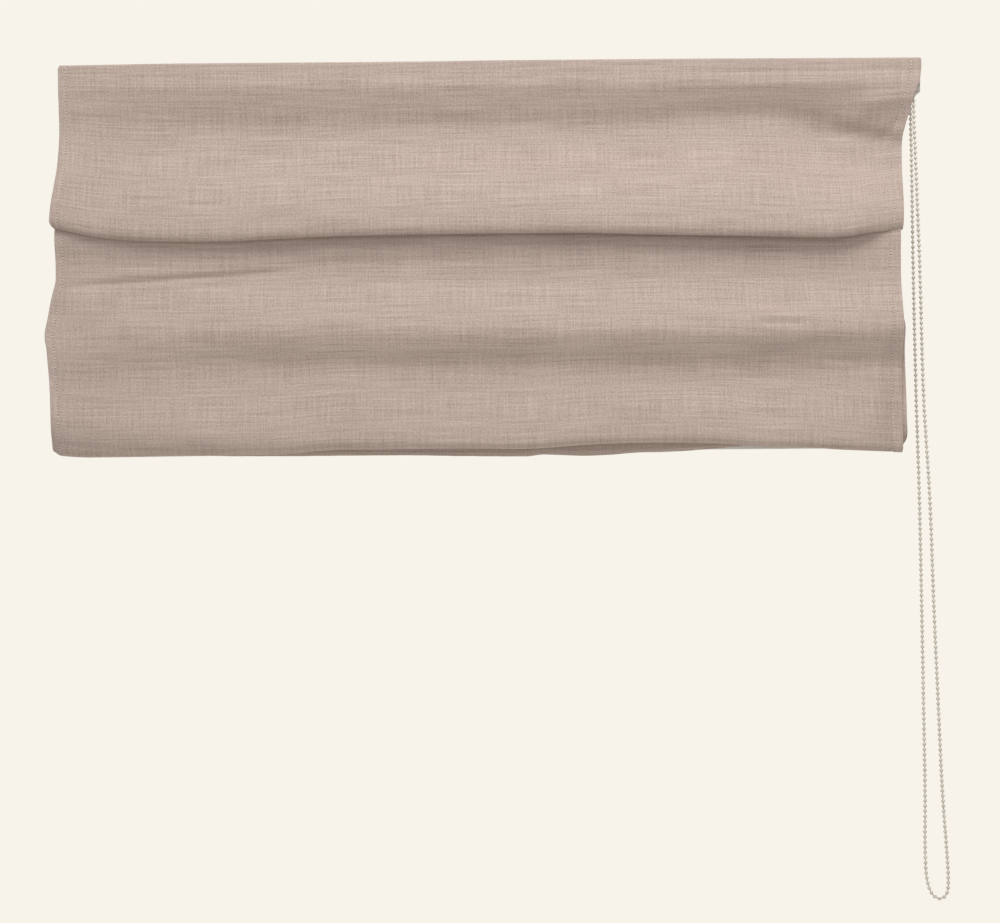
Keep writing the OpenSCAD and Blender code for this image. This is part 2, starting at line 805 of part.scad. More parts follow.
// A lever with an arm above the rail's lips and a cam below them
module bracket_lever(side) {
    arm_w = 8;
    hub_r = 5;
    thumb_r = 6;
    color("#8e9297")
        translate([side * bracket_spacing / 2 + pivot_x, 0, 0])
            difference() {
                union() {
                    translate([0, 0, arm_bottom])
                        linear_extrude(lever_t) {
                            circle(hub_r + lever_t);
                            translate([-arm_w / 2, 0])
                                square([arm_w, lever_reach - thumb_r]);
                            translate([0, lever_reach - thumb_r])
                                circle(thumb_r);
                        }
                    translate([0, 0, cam_bottom])
                        cylinder(r = hub_r, h = arm_top - cam_bottom);
                    translate([0, 0, cam_bottom])
                        linear_extrude(lever_t)
                            intersection() {
                                circle(cam_r);
                                square([cam_w, 2 * cam_r], center = true);
                            }
                }
                translate([0, 0, cam_bottom - cut])
                    cylinder(r = rivet_r + pivot_gap, h = arm_top - cam_bottom + 2 * cut);
            }
}

headrail();
hook_tape();
loop_tape();
fabric_panel();
idle_end_cap();
idle_bush();
drive_housing();
drive_cover();
brake_spring();
cover_screws();
drum_cradle(columns[0]);  // drum_cradle_left
drum_cradle(columns[1]);  // drum_cradle_middle
drum_cradle(columns[2]);  // drum_cradle_right
bracket(-1);  // bracket_left
bracket(1);  // bracket_right
lever_rivets();
lift_cord(columns[0]);  // lift_cord_left
lift_cord(columns[1]);  // lift_cord_middle
lift_cord(columns[2]);  // lift_cord_right
bead_chain();
chain_wheel();
wheel_beads();
drive_shaft();
cord_drum(columns[0]);  // cord_drum_left
cord_drum(columns[1]);  // cord_drum_middle
cord_drum(columns[2]);  // cord_drum_right
cord_windings();
batten_rod(0);  // batten_rod_1
rod_pocket(0);  // rod_pocket_1
cord_rings(0);  // cord_rings_1
batten_rod(1);  // batten_rod_2
rod_pocket(1);  // rod_pocket_2
cord_rings(1);  // cord_rings_2
batten_rod(2);  // batten_rod_3
rod_pocket(2);  // rod_pocket_3
cord_rings(2);  // cord_rings_3
cord_ties();
bottom_bar();
bar_caps();
bracket_lever(-1);  // bracket_lever_left
bracket_lever(1);  // bracket_lever_right
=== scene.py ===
"""Looks of a chain-operated roman blind: linen-look cloth gathered in soft folds, a bead chain,
lift cords and the finishes of the rail, drive and brackets. Lengths are in metres unless a comment
says millimetres."""
import json
import math

import bpy
import numpy as np
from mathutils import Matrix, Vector


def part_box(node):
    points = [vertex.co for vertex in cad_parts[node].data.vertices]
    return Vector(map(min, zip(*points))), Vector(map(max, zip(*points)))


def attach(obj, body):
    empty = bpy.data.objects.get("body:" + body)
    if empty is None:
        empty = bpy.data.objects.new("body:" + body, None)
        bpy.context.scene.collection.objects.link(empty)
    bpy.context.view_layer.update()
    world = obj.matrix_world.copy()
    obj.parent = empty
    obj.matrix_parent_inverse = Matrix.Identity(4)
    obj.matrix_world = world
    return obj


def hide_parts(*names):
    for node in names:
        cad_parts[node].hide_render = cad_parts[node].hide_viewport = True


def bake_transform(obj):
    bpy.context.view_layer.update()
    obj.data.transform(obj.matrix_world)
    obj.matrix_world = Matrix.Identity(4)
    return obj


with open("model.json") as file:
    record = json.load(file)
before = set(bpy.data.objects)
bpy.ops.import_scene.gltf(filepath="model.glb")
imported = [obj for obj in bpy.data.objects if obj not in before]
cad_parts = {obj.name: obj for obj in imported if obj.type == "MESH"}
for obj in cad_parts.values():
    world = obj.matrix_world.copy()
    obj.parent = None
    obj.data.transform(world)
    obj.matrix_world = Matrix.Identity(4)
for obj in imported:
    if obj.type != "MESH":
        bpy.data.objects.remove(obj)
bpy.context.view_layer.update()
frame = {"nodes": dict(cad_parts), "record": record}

MM = 0.001
WEAVE_MAP = "weave"
PATH_STEPS = 8


# Curves

def curve_through(*pairs):
    """A smooth function through (place, value) pairs, which never overshoots them."""
    at, value = np.array(pairs, float).T
    pitch = np.diff(value) / np.diff(at)
    before, after = pitch[:-1], pitch[1:]
    same_way = before * after > 0
    level = np.where(same_way, 2 * before * after / np.where(same_way, before + after, 1), 0)
    slope = np.concatenate([pitch[:1], level, pitch[-1:]])

    def evaluate(x):
        x = np.clip(x, at[0], at[-1])
        i = np.clip(np.searchsorted(at, x) - 1, 0, len(at) - 2)
        span = at[i + 1] - at[i]
        t = (x - at[i]) / span
        s = 1 - t
        ends = s * s * (1 + 2 * t) * value[i] + t * t * (3 - 2 * t) * value[i + 1]
        return ends + span * t * s * (s * slope[i] - t * slope[i + 1])

    return evaluate


def unit(vectors):
    return vectors / np.linalg.norm(vectors, axis=-1, keepdims=True)


def smooth_path(points):
    """Points on a smooth curve through control points, which run along the first axis.
    At each control point the curve's heading lies halfway between the legs on either side."""
    legs = np.diff(points, axis=0)
    headings = unit(legs)
    headings = np.concatenate([headings[:1], unit(headings[:-1] + headings[1:]), headings[-1:]])
    length = np.linalg.norm(legs, axis=-1, keepdims=True)
    rows = []
    for i in range(len(legs)):
        for t in np.arange(PATH_STEPS) / PATH_STEPS:
            s = 1 - t
            ends = s * s * (1 + 2 * t) * points[i] + t * t * (3 - 2 * t) * points[i + 1]
            rows.append(ends + length[i] * t * s * (s * headings[i] - t * headings[i + 1]))
    rows.append(points[-1])
    return np.array(rows)


def rise(x, low, high):
    """0 below low, 1 above high, and a smooth step between them."""
    t = np.clip((x - low) / (high - low), 0, 1)
    return t * t * (3 - 2 * t)


def along(path):
    """Distance along a path, whose points run along the first axis."""
    steps = np.linalg.norm(np.diff(path, axis=0), axis=-1)
    return np.concatenate([np.zeros_like(steps[:1]), np.cumsum(steps, axis=0)])


# Mesh helpers

def new_mesh(name, points, faces, material, uv=None):
    """A smooth-shaded object from points and faces; uv gives a place in the weave for each point."""
    mesh = bpy.data.meshes.new(name)
    mesh.from_pydata(np.asarray(points).tolist(), [], [list(face) for face in faces])
    mesh.polygons.foreach_set("use_smooth", [True] * len(mesh.polygons))
    if uv is not None:
        corner = np.empty(len(mesh.loops), int)
        mesh.loops.foreach_get("vertex_index", corner)
        layer = mesh.uv_layers.new(name=WEAVE_MAP)
        layer.data.foreach_set("uv", np.asarray(uv)[corner].ravel())
    mesh.materials.append(material)
    piece = bpy.data.objects.new(name, mesh)
    bpy.context.scene.collection.objects.link(piece)
    return piece


def grid_faces(rows, columns, first=0, flip=False):
    """Quads over a grid of points that is numbered row by row."""
    index = first + np.arange(rows * columns).reshape(rows, columns)
    corners = [index[:-1, :-1], index[1:, :-1], index[1:, 1:], index[:-1, 1:]]
    quads = np.stack(corners, -1).reshape(-1, 4)
    return quads[:, ::-1] if flip else quads


def ring_of(rows, columns):
    """The border of a grid, as point numbers in order."""
    index = np.arange(rows * columns).reshape(rows, columns)
    return np.concatenate([index[0, :-1], index[:-1, -1], index[-1, :0:-1], index[:0:-1, 0]])


def swept_tube(path, radius, sides, first=0):
    """Points and faces of a closed round tube along a path."""
    heading = unit(np.gradient(path, axis=0))
    across = unit(np.cross(heading, [0.0, 1.0, 0.02]))
    other = np.cross(heading, across)
    angle = 2 * np.pi * np.arange(sides) / sides
    ring = np.cos(angle)[None, :, None] * across[:, None] + np.sin(angle)[None, :, None] * other[:, None]
    points = (path[:, None] + radius * ring).reshape(-1, 3)
    faces = []
    for i in range(len(path) - 1):
        for k in range(sides):
            a, b = first + i * sides + k, first + i * sides + (k + 1) % sides
            faces.append((a, b, b + sides, a + sides))
    last = first + (len(path) - 1) * sides
    faces.append([first + k for k in reversed(range(sides))])
    faces.append([last + k for k in range(sides)])
    return points, faces


# Materials

class Nodes:
    """A material's node tree, with short calls to add and join nodes."""

    def __init__(self, name):
        self.material = bpy.data.materials.new(name)
        self.material.use_nodes = True
        self.tree = self.material.node_tree
        self.shader = self.tree.nodes["Principled BSDF"]

    def add(self, kind, settings=(), **inputs):
        node = self.tree.nodes.new(kind)
        for key, value in dict(settings).items():
            setattr(node, key, value)
        for key, value in inputs.items():
            self.join(value, node.inputs[key])
        return node

    def join(self, value, socket):
        if isinstance(value, bpy.types.NodeSocket):
            self.tree.links.new(value, socket)
        else:
            socket.default_value = value

    def set(self, **inputs):
        for key, value in inputs.items():
            self.join(value, self.shader.inputs[key.replace("_", " ")])

    def noise(self, vector, scale, detail=3.0):
        return self.add("ShaderNodeTexNoise", Vector=vector, Scale=scale, Detail=detail).outputs["Fac"]

    def stretched_noise(self, vector, stretch, detail):
        node = self.add("ShaderNodeMapping", Vector=vector)
        node.inputs["Scale"].default_value = stretch
        return self.noise(node.outputs["Vector"], 1.0, detail)

    def math(self, operation, a, b):
        node = self.add("ShaderNodeMath", {"operation": operation})
        self.join(a, node.inputs[0])
        self.join(b, node.inputs[1])
        return node.outputs["Value"]

    def ramp(self, factor, *stops):
        node = self.add("ShaderNodeValToRGB", Fac=factor)
        elements = node.color_ramp.elements
        while len(elements) < len(stops):
            elements.new(0.5)
        for element, (place, colour) in zip(elements, stops):
            element.position = place
            element.color = (*colour, 1)
        return node.outputs["Color"]

    def spread(self, factor, low, high):
        node = self.add("ShaderNodeMapRange", Value=factor)
        node.inputs["To Min"].default_value = low
        node.inputs["To Max"].default_value = high
        return node.outputs["Result"]

    def bump(self, height, distance, strength):
        node = self.add("ShaderNodeBump", Height=height, Distance=distance, Strength=strength)
        self.set(Normal=node.outputs["Normal"])

    def object_place(self):
        return self.add("ShaderNodeTexCoord").outputs["Object"]


def linear(red, green, blue):
    """A screen colour from 0 to 255 as the linear values that a shader takes."""
    share = np.array([red, green, blue]) / 255
    return tuple(np.where(share <= 0.04045, share / 12.92, ((share + 0.055) / 1.055) ** 2.4).tolist())


cloth_dark, cloth_middle, cloth_light = linear(150, 131, 121), linear(188, 169, 158), linear(217, 199, 188)
# Parts of the weave: how often each varies across and down a metre, its detail and its share of the tone
weave_parts = {
    "weft": ((14, 580, 1), 3.0, 0.32),
    "warp": ((620, 22, 1), 3.0, 0.26),
    "slub": ((8, 280, 1), 2.0, 0.13),
    "grain": ((420, 420, 1), 2.0, 0.29),
}
cloud_stretch = (9, 12, 1)
cloud_share = 0.06
weave_depth = 1.1 * MM


def cloth_material():
    """Plain weave of thick and thin threads, which show as long streaks both ways."""
    n = Nodes("linen_weave")
    place = n.add("ShaderNodeUVMap", {"uv_map": WEAVE_MAP}).outputs["UV"]
    tone = None
    for stretch, detail, share in weave_parts.values():
        part = n.math("MULTIPLY", n.stretched_noise(place, stretch, detail), share)
        tone = part if tone is None else n.math("ADD", tone, part)
    cloud = n.math("SUBTRACT", n.stretched_noise(place, cloud_stretch, 2.0), 0.5)
    tone = n.math("ADD", tone, n.math("MULTIPLY", cloud, cloud_share))
    colour = n.ramp(tone, (0.29, cloth_dark), (0.5, cloth_middle), (0.71, cloth_light))
    n.set(Base_Color=colour, Roughness=0.92, Sheen_Weight=0.12, Sheen_Roughness=0.5)
    n.bump(tone, weave_depth, 0.55)
    return n.material


def thread_material(name, light, dark, pitch):
    """Twisted or braided yarn, with a fine slanting grain."""
    n = Nodes(name)
    place = n.object_place()
    twist = n.add("ShaderNodeTexWave", {"bands_direction": "DIAGONAL"}, Vector=place, Scale=1 / pitch,
                  Distortion=1.5).outputs["Fac"]
    fuzz = n.noise(place, 2500.0)
    tone = n.math("ADD", n.math("MULTIPLY", twist, 0.6), n.math("MULTIPLY", fuzz, 0.4))
    n.set(Base_Color=n.ramp(tone, (0.2, dark), (0.8, light)), Roughness=0.85)
    n.bump(twist, 0.2 * MM, 0.5)
    return n.material


def coated_material(name, colour, shade, rough, metallic=0.0, grain=(300, 300, 300)):
    """A sprayed, plated or moulded finish: faint mottling, and roughness that varies with it."""
    n = Nodes(name)
    place = n.object_place()
    mottle = n.stretched_noise(place, grain, 4.0)
    peel = n.stretched_noise(place, tuple(4 * g for g in grain), 2.0)
    n.set(Base_Color=n.ramp(mottle, (0.3, shade), (0.7, colour)), Metallic=metallic)
    n.set(Roughness=n.spread(mottle, rough - 0.06, rough + 0.06))
    n.bump(peel, 0.04 * MM, 0.6)
    return n.material


def bead_material():
    """Pearly moulded plastic, faintly marbled."""
    n = Nodes("pearl_plastic")
    swirl = n.noise(n.object_place(), 260.0, 4.0)
    n.set(Base_Color=n.ramp(swirl, (0.3, linear(204, 197, 184)), (0.7, linear(224, 217, 205))),
          Roughness=n.spread(swirl, 0.22, 0.36), Coat_Weight=0.25, Coat_Roughness=0.15)
    n.bump(swirl, 0.1 * MM, 0.3)
    return n.material


def tape_material():
    """Short pile of the hook and loop tapes."""
    n = Nodes("tape_pile")
    pile = n.add("ShaderNodeTexVoronoi", Vector=n.object_place(), Scale=900.0).outputs["Distance"]
    colour = n.ramp(pile, (0.0, linear(214, 211, 202)), (0.5, linear(243, 241, 234)))
    n.set(Base_Color=colour, Roughness=0.95)
    n.bump(pile, 0.6 * MM, 0.8)
    return n.material


cloth_look = cloth_material()
cord_look = thread_material("braided_cord", linear(238, 234, 225), linear(206, 200, 188), pitch=1.2 * MM)
stitch_look = thread_material("sewing_thread", linear(244, 232, 223), linear(216, 200, 190), pitch=0.6 * MM)
# Painted shade: dark tubes between the stitches, coloured like the shadow that falls in the dips of a seam
stitch_shade_look = thread_material("painted_stitch_shade", cloth_dark, linear(128, 110, 101), pitch=0.6 * MM)
bead_look = bead_material()
finishes = {
    "cloth": cloth_look,
    "white_metal": coated_material("white_powder_coat", linear(238, 237, 233), linear(230, 228, 222),
                                   rough=0.42),
    "steel": coated_material("zinc_plate", linear(188, 191, 196), linear(160, 164, 170), rough=0.5,
                             metallic=1.0, grain=(40, 700, 700)),
    "dark_steel": coated_material("spring_steel", linear(134, 138, 143), linear(104, 108, 113), rough=0.38,
                                  metallic=1.0, grain=(60, 700, 700)),
    "ivory_plastic": coated_material("ivory_plastic", linear(236, 230, 217), linear(228, 221, 206),
                                     rough=0.4),
    "grey_plastic": coated_material("grey_plastic", linear(190, 187, 180), linear(176, 173, 166),
                                    rough=0.5),
    "bead_plastic": bead_look,
    "cord": cord_look,
    "tape": tape_material(),
    "glass_fibre": coated_material("glass_fibre", linear(240, 239, 233), linear(229, 227, 219), rough=0.36,
                                   grain=(15, 900, 900)),
}
slot_of = {row["node"]: row["material_slot"] for row in frame["record"]["subparts"]}
for node, piece in frame["nodes"].items():
    piece.data.materials.clear()
    piece.data.materials.append(finishes[slot_of[node]])


# Cloth: one sheet that runs from the header down through every fold to the bottom hem

def middle_of(node, axis):
    """The middle of a CAD node's box along one axis."""
    low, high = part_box(node)
    return (low[axis] + high[axis]) / 2


cloth_t = 0.7 * MM
pocket_low, pocket_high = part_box("rod_pocket_1")
pocket_r = (pocket_high[2] - pocket_low[2]) / 2
rod_y = middle_of("rod_pocket_1", 1)
rod_z = [middle_of(f"rod_pocket_{i}", 2) for i in (1, 2, 3)]
bar_low, bar_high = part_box("bottom_bar")
tape_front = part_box("loop_tape")[0][1]
rail_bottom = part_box("headrail")[0][2]
header_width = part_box("fabric_panel")[1][0] * 2

# Shape across the width, as (x, value) in millimetres
# Top edge, and the hollow under the rail
top_edge = curve_through((-500, -2.6), (-350, -1.2), (-160, -1.2), (10, -0.4), (185, -0.2),
                         (330, -0.6), (500, -1))
recess_y = curve_through((-500, -16), (-420, -11.2), (-250, -7.4), (0, -6.4), (200, -5.6),
                         (300, -4.2), (390, 0), (430, 0), (480, -3))
recess_z = curve_through((-500, -72), (-160, -75), (150, -74), (250, -67), (310, -66), (380, -86),
                         (430, -99), (480, -104))
# Lip of the first fold: its lower edge, how far it stands out, and the height of its rounding
lip_z = curve_through((-505, -192), (-485, -197), (-455, -203), (-400, -208), (-320, -209),
                      (-250, -206.5), (-160, -203.6), (10, -202.4), (90, -202.6), (180, -205),
                      (300, -207.8), (395, -210), (440, -204), (475, -199.5))
lip_y = curve_through((-505, -32), (-460, -34), (-300, -35.5), (0, -38), (200, -40), (395, -39.5),
                      (430, -36), (455, -28), (478, -24))
lip_turn = curve_through((-505, 17), (-200, 16), (100, 12), (478, 12))
# Front panel: where it comes out under the lip, its slack there, its belly and its waist
tuck_y = curve_through((-510, -25), (-440, -24), (-300, -21.5), (0, -21), (200, -20), (400, -20),
                       (478, -21))
sag = curve_through((-510, 6), (-440, 5), (-300, 3), (0, 3), (200, 0), (478, 0))
bulge_y = curve_through((-510, -26), (-480, -28), (-405, -36), (-310, -39.8), (-160, -41), (0, -42),
                        (300, -43), (478, -41))
bulge_z = curve_through((-510, -309), (-440, -312), (-300, -312), (0, -314), (300, -317), (478, -313))
waist_y = curve_through((-510, -31.5), (-480, -32), (-405, -32), (-310, -28.5), (0, -27), (300, -26),
                        (395, -26.5), (430, -25.5), (455, -23), (466, -22), (478, -23))
# Lower turn of the front panel: how far it stands out, its lower edge, and the height of its rounding
loop_y = curve_through((-510, -38), (-480, -39), (-440, -41.5), (-300, -41.5), (0, -41), (395, -41),
                       (425, -40), (445, -34), (461, -26.5), (472, -23.5), (478, -23))
loop_z = curve_through((-507, -448), (-502.5, -451), (-497, -454.4), (-460, -456.4), (-356, -455.8),
                       (-252, -455), (-170, -449.8), (-48, -449.5), (36, -450.3), (132, -445.3),
                       (193, -444.4), (266, -446.3), (310, -450), (358, -451), (400, -454), (478, -457.5))
roll = curve_through((-510, 42), (-440, 34), (-300, 22), (-150, 13), (50, 10), (478, 10))
# Bottom hem, behind the front panel
hem_z = curve_through((-500, -450), (-470, -454), (-356, -457), (-252, -457.8), (-129, -457.8),
                      (36, -459.4), (56, -458), (106, -459.2), (172, -457), (231, -454), (330, -450),
                      (478, -453))

# Heights that stay the same across the width, in millimetres
tuck_z, sag_z, hollow_z = -204, -228, -256
inner_z = -230
rear_z = -438
rear_middle = -300
# Distances from what the cloth lies on to the middle of its thickness, in millimetres
tape_gap = 0.45
wrap_gap = 0.75


def cloth_control(x):
    """Control points [y, z] of the cloth's section in each column, grouped in spans from one turn of
    the cloth to the next. x holds the columns' places in millimetres."""
    header = tape_front / MM - tape_gap
    crest = (rod_y - pocket_r) / MM - wrap_gap
    first, second, third = (z / MM for z in rod_z)
    under = rail_bottom / MM
    bar = (bar_low[1] + bar_high[1]) / 2 / MM
    wrap = (bar_high[1] - bar_low[1]) / 2 / MM + wrap_gap
    bar_top = bar_high[2] / MM
    nose = 2
    lip, front, loop, hem = lip_z(x), lip_y(x), loop_z(x), hem_z(x)
    deep, low = recess_y(x), recess_z(x)
    reach, fall = front - deep, lip + lip_turn(x) - low
    bulge, belly, waist, drop = bulge_y(x), bulge_z(x), waist_y(x), loop_y(x)
    tuck, slack, turn = tuck_y(x), sag(x), roll(x)
    bend = under + 2
    lean = (deep - header) / (bend - low)
    header_panel = [
        (header, top_edge(x)), (header, (under - 4) / 2), (header, bend),
        (header + 8 * lean, bend - 8), (header + (bend - 20 - low) * lean, low + 20),
        (deep, low), (deep + 0.09 * reach, low + 0.23 * fall), (deep + 0.43 * reach, low + 0.49 * fall),
        (deep + 0.82 * reach, low + 0.76 * fall), (front, low + fall),
        (front + 1, lip + 5), (front + 5.5, lip)]
    first_fold_back = [
        (front + 10.5, lip + 3.5), (front + 16, first - 15), (front + 25, first - 4.5),
        (crest - 5, first + nose), (crest, first)]
    front_panel = [
        (crest - 5, first - nose), (crest - 10.6, first - 8.5), (0.6 * tuck - 5, first - 20),
        (tuck, tuck_z), (tuck + 0.8 * slack, sag_z), (tuck + slack - 1.5, hollow_z),
        (0.42 * tuck + 0.46 * bulge, belly + 39), (0.87 * bulge, belly + 20), (bulge, belly),
        (0.5 * (bulge + waist) - 2, belly - 20), (waist - 1, belly - 40), (waist - 0.5, belly - 56),
        (0.8 * drop - 3.6, loop + turn + 28), (drop, loop + turn),
        (drop + 0.12 * turn, loop + 0.38 * turn), (drop + 7 + 0.25 * turn, loop)]
    front_panel_back = [
        (drop + 14.5 + 0.15 * turn, loop + 5), (crest - 15, loop + 21), (crest - 12.5, loop + 116),
        (crest - 10.5, inner_z), (crest - 9.5, second - 16), (crest - 8, second - 4),
        (crest - 4, second + nose), (crest, second)]
    rear_panel = [
        (crest - 3.5, second - nose), (crest - 5.6, second - 8), (crest - 6.2, second - 21),
        (crest - 6.7, rear_middle), (crest - 8.3, rear_z + 38), (crest - 8.6, rear_z + 8),
        (crest - 5.9, rear_z)]
    rear_panel_back = [
        (crest - 3.3, rear_z + 8), (crest - 3.3, rear_z + 38), (crest - 3.5, rear_middle),
        (crest - 3.7, third - 12), (crest - 3.4, third - 3), (crest - 1.8, third + nose), (crest, third)]
    bottom_flap = [
        (crest - 1.2, third - 4), (crest - 0.9, third - 17), (crest - 0.3, rear_middle),
        (bar - wrap, bar_top + 18), (bar - wrap, hem + 4), (bar, hem + 0.4), (bar + wrap, hem + 4),
        (bar + wrap, bar_top + 3), (bar - wrap + 1.4, bar_top + 14)]
    spans = [header_panel, first_fold_back, front_panel, front_panel_back, rear_panel, rear_panel_back,
             bottom_flap]
    blank = np.zeros_like(x)
    return [np.array([[blank + y, blank + z] for y, z in span]).transpose(0, 2, 1) * MM for span in spans]


span_names = ["header_panel", "first_fold_back", "front_panel", "front_panel_back", "rear_panel",
              "rear_panel_back", "bottom_flap"]
span_bodies = [("headrail",), ("headrail", "rod_1"), ("rod_1",), ("rod_1", "rod_2"), ("rod_2",),
               ("rod_2", "rod_3"), ("rod_3",)]
# Distance between the rows of each span's grid
row_gap = [2.2 * MM, 2.5 * MM, 2.2 * MM, 6 * MM, 6 * MM, 6 * MM, 4 * MM]

# Left and right edges of each span, as (share of the span, x in millimetres)
edges = [
    (curve_through((0, -496.8), (0.008, -498.4), (0.02, -499.3), (0.35, -499), (0.6, -500.5),
                   (0.9, -507.4), (0.95, -508), (1, -503)),
     curve_through((0, 499), (0.008, 500.3), (0.05, 500.4), (0.12, 498.6), (0.18, 494.6), (0.22, 491.4),
                   (0.3, 487.8), (0.38, 483.4), (0.44, 481), (0.5, 480.5), (0.9, 478.2), (1, 477))),
    (curve_through((0, -503), (1, -502)),
     curve_through((0, 477), (1, 476))),
    (curve_through((0, -502), (0.13, -503.8), (0.31, -503.5), (0.36, -506.3), (0.42, -510.2),
                   (0.48, -513.3), (0.525, -515.4), (0.55, -515), (0.585, -512.8), (0.7, -509.8),
                   (0.86, -507), (0.95, -507), (1, -507)),
     curve_through((0, 476), (0.13, 475), (0.4, 474), (0.5, 473.9), (0.7, 474.6), (1, 475.4))),
    (curve_through((0, -507), (0.06, -502.5), (1, -501)),
     curve_through((0, 475.4), (0.03, 475.6), (0.05, 480), (0.09, 481.6), (0.16, 480.4), (0.43, 479.6),
                   (0.52, 481), (0.58, 477), (0.64, 474), (1, 474))),
    (curve_through((0, -501), (1, -500)),
     curve_through((0, 474), (0.5, 475), (0.9, 478), (1, 478))),
    (curve_through((0, -500), (1, -500)),
     curve_through((0, 478), (1, 476))),
    (curve_through((0, -500), (0.85, -499), (1, -498)),
     curve_through((0, 476), (0.9, 476), (1, 475))),
]
# Edges between which the section's shape is laid out, in millimetres
hang_left, hang_right = -506, 475
left_hem = 8.5 * MM
right_hem = 11.5 * MM


def cloth_columns():
    """Places of the grid's columns across the cloth, from 0 to 1, closer together at edges and seams."""
    width = header_width
    spacing = 3.7 * MM
    past_left_hem, past_right_hem = 5 * MM, 4 * MM
    near = [0, 0.7 * MM, 1.6 * MM, 3 * MM]
    seam = [-1.8 * MM, -0.9 * MM, 0, 0.9 * MM, 1.8 * MM]
    left = near + [left_hem + s for s in seam]
    right = [width - s for s in near + [right_hem + s for s in seam]]
    middle = np.arange(left_hem + past_left_hem, width - right_hem - past_right_hem, spacing)
    return np.unique(np.round(np.concatenate([left, middle, right]) / width, 7))


columns = cloth_columns()


steepest_wave = 1.2


def ripples(x, s, seed, count, shortest, longest):
    """Seeded random waves over the cloth, between about -1 and 1; all lengths in metres."""
    draw = np.random.default_rng(seed)
    total = np.zeros_like(x)
    for _ in range(count):
        length = draw.uniform(shortest, longest)
        angle = draw.uniform(-steepest_wave, steepest_wave)
        phase = draw.uniform(0, 2 * np.pi)
        total += np.sin(2 * np.pi * (x * np.sin(angle) + s * np.cos(angle)) / length + phase)
    return total / math.sqrt(count)


# Shares of a crease's length over which it comes up and dies away
crease_in, crease_out = (-0.12, 0.3), (0.7, 1.12)


def ridge(x, z, start, end, width, height):
    """A soft crease from start to end, given as (x, z) in millimetres, fading out at both ends."""
    start, end = np.array(start) * MM, np.array(end) * MM
    run = end - start
    share = ((x - start[0]) * run[0] + (z - start[1]) * run[1]) / (run @ run)
    off = ((x - start[0]) * run[1] - (z - start[1]) * run[0]) / np.linalg.norm(run)
    fade = rise(share, *crease_in) * (1 - rise(share, *crease_out))
    return height * MM * fade * np.exp(-(off / (width * MM)) ** 2)


# Creases by span, as (start, end, width, height) in millimetres; a height below 0 is a valley
creases = {
    "header_panel": [
        ((500, -41), (425, -55), 13, 3.5),
        ((482, -66), (450, -100), 6, -1.6),
        ((492, -96), (395, -82), 10, -3.4),
        ((480, -114), (440, -122), 6, 1.0),
        ((446, -88), (350, -62), 12, -2.2),
        ((-110, -34), (20, -70), 12, 0.7),
    ],
    "front_panel": [
        ((-492, -259), (-205, -241), 3.2, -2.2),
        ((-492, -250), (-205, -233), 7, 1.6),
        ((-300, -236), (20, -229), 6, -1.7),
        ((298, -299), (374, -301), 3.5, 2.4),
        ((308, -308), (360, -310), 4, -1.8),
        ((300, -286), (352, -286), 5, -1.4),
        ((459, -318), (463, -438), 8, -1.6),
        ((445, -330), (449, -432), 9, 2.2),
        ((440, -330), (300, -346), 9, -1.0),
    ],
}
# Waves of the cloth: faint short ones everywhere, and broad ones on the two spans that show
faint_height = 0.12 * MM
faint_seed = 11
faint_waves = {"count": 9, "shortest": 0.02, "longest": 0.07}
broad_height = {"header_panel": 0.7 * MM, "front_panel": 0.9 * MM}
broad_seed = {"header_panel": 3, "front_panel": 5}
broad_waves = {"count": 5, "shortest": 0.16, "longest": 0.4}
# The header lies flat on the rail down to the first depth, and hangs free below the second
header_free = (0.05, 0.1)
# Relief fades out over this share of a span at both its ends
fade_share = 0.06
# Seam across the header, which draws in more towards the right, between two places along x
header_seam_z = -15.5 * MM
header_seam_width = 2 * MM
header_seam_depth = 0.8 * MM
header_seam_left, header_seam_right = 0.2, 1.0
header_seam_change = (0.1, 0.35)


def front_relief(number, x, z, s, share):
    """How far the cloth stands out from its smooth section: creases, drag lines and faint ripples."""
    span = span_names[number]
    fade = rise(share, 0, fade_share) * (1 - rise(share, 1 - fade_share, 1))
    relief = faint_height * ripples(x, s, faint_seed + number, **faint_waves)
    if span in creases:
        below_rail = rise(-z, *header_free) if span == "header_panel" else 1
        relief += broad_height[span] * below_rail * ripples(x, s, broad_seed[span], **broad_waves)
        for start, end, width, height in creases[span]:
            relief += ridge(x, z, start, end, width, height)
    if span == "header_panel":
        drawn_in = header_seam_left + (header_seam_right - header_seam_left) * rise(x, *header_seam_change)
        groove = np.exp(-((z - header_seam_z) / header_seam_width) ** 2)
        relief -= header_seam_depth * groove * drawn_in
    return relief * fade


hem_step = 0.35 * MM
hem_groove = 0.5 * MM


def hem_relief(x, left, right):
    """The doubled side hems stand a little proud, with a groove along each seam."""
    step, groove = 0, 0
    for inside, hem in ((x - left, left_hem), (right - x, right_hem)):
        step = step + hem_step * (1 - rise(inside, hem - MM, hem + MM))
        groove = groove + np.exp(-((inside - hem) / MM) ** 2)
    return step - hem_groove * groove


def surface_normals(points):
    """Unit normals on the cloth's face side, which looks into the room where the cloth hangs straight."""
    across = np.gradient(points, axis=1)
    down = np.gradient(points, axis=0)
    return unit(np.cross(down, across))


def spread_evenly(leg, run, share):
    """The y and the z of each column of a span, at given shares of the way along it."""
    places = range(leg.shape[1])
    return [np.array([np.interp(share * run[-1, j], run[:, j], leg[:, j, k]) for j in places]).T
            for k in (0, 1)]


